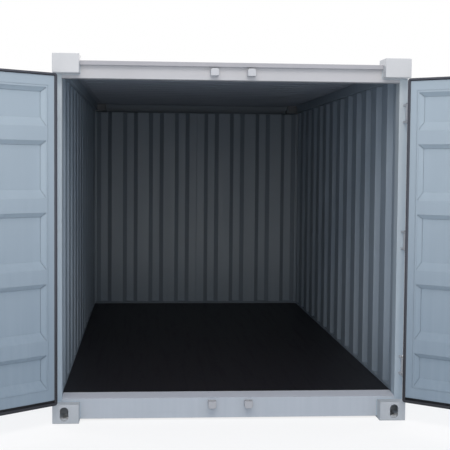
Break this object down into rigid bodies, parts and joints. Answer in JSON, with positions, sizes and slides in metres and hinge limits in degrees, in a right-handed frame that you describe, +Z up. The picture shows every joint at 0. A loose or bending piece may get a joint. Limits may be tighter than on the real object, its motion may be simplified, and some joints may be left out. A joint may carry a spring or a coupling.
{
  "type": "storage container",
  "caption": "Steel storage container on corner castings, with corrugated walls, a dark board floor and a pair of hinged end doors standing open.",
  "frame": {"origin": "on the ground, in the middle of the four bottom lock slots", "axes": "+X along the container towards the doors, +Y to the right of someone facing the doors, +Z up"},
  "size_m": [5.2825, 3.7866, 2.26],
  "materials": {
    "grey_paint": "satin",
    "floor_boards": "satin",
    "seal_rubber": "matte",
    "zinc_steel": "satin"
  },
  "bodies": {
    "container": {"front_bottom_castings": "grey_paint", "front_top_castings": "grey_paint", "rear_bottom_castings": "grey_paint", "rear_top_castings": "grey_paint", "left_door_post": "grey_paint", "right_door_post": "grey_paint", "left_rear_post": "grey_paint", "right_rear_post": "grey_paint", "door_sill": "grey_paint", "door_header": "grey_paint", "rain_gutter": "grey_paint", "rear_bottom_rail": "grey_paint", "rear_top_rail": "grey_paint", "left_bottom_rail": "grey_paint", "right_bottom_rail": "grey_paint", "left_top_rail": "grey_paint", "right_top_rail": "grey_paint", "cross_members": "grey_paint", "floor": "floor_boards", "left_wall": "grey_paint", "right_wall": "grey_paint", "rear_wall": "grey_paint", "roof": "grey_paint", "header_cam_keepers": "grey_paint", "sill_cam_keepers": "grey_paint", "left_hinge_lugs": "grey_paint", "right_hinge_lugs": "grey_paint", "left_hinge_pins": "zinc_steel", "right_hinge_pins": "zinc_steel"},
    "left_door": {"left_door_frame": "grey_paint", "left_door_panel": "grey_paint", "left_door_seal": "seal_rubber", "left_hinge_blades": "grey_paint", "left_locking_bar": "zinc_steel", "left_bar_guides": "grey_paint", "left_locking_handle": "zinc_steel", "left_handle_catch": "grey_paint"},
    "right_door": {"right_door_frame": "grey_paint", "right_door_panel": "grey_paint", "right_door_seal": "seal_rubber", "right_hinge_blades": "grey_paint", "right_locking_bar": "zinc_steel", "right_bar_guides": "grey_paint", "right_locking_handle": "zinc_steel", "right_handle_catch": "grey_paint"}
  },
  "joints": [
    {"name": "left_door_hinge", "type": "hinge", "parent": "container", "child": "left_door", "pos_m": [2.261, -1.085, 0], "axis": [0, 0, -1], "range_deg": [-140, 122]},
    {"name": "right_door_hinge", "type": "hinge", "parent": "container", "child": "right_door", "pos_m": [2.261, 1.085, 0], "axis": [0, 0, 1], "range_deg": [-140, 122]}
  ]
}
